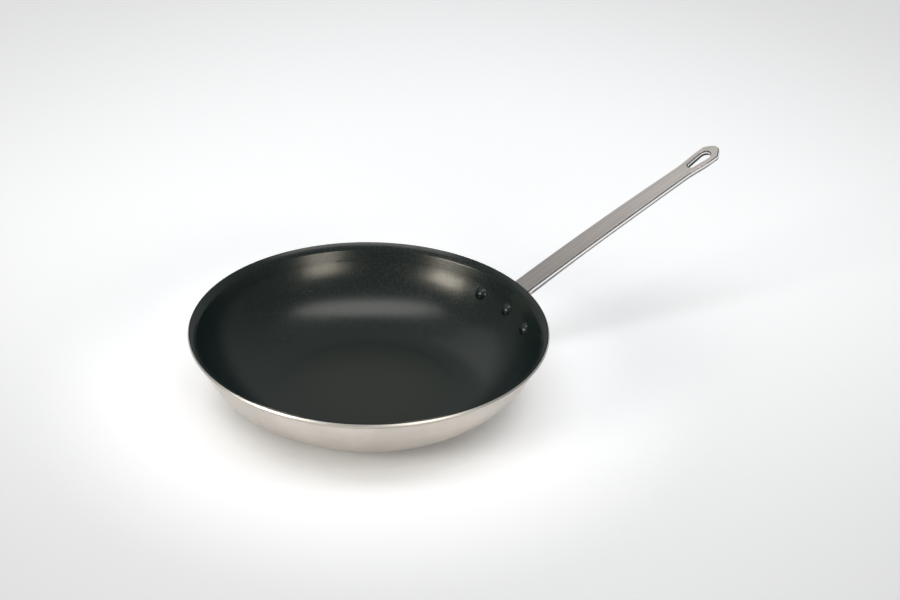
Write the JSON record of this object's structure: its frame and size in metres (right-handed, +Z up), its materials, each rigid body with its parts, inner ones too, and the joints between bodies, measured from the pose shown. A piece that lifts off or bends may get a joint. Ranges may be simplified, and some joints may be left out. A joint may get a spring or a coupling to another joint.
{
  "type": "omelette pan",
  "caption": "Round pressed pan with curved sides and a flared lip, black film inside, and a long riveted bar handle with a hanging eye.",
  "frame": {"origin": "middle of the flat underside, on the pan's axis", "axes": "+Z up out of the pan's mouth, +X along the handle seen from above"},
  "size_m": [0.4703, 0.2796, 0.138],
  "materials": {
    "pan_aluminium": "satin outside, polished at the rim's edge",
    "nonstick_film": "satin black film with a fine speckle",
    "handle_steel": "brushed lengthwise on top, polished on the sides",
    "rivet_aluminium": "bright"
  },
  "bodies": {
    "root": {"pan_body": "pan_aluminium", "nonstick_coating": "nonstick_film", "handle": "handle_steel", "rivet_left": "rivet_aluminium", "rivet_middle": "rivet_aluminium", "rivet_right": "rivet_aluminium"}
  },
  "joints": []
}
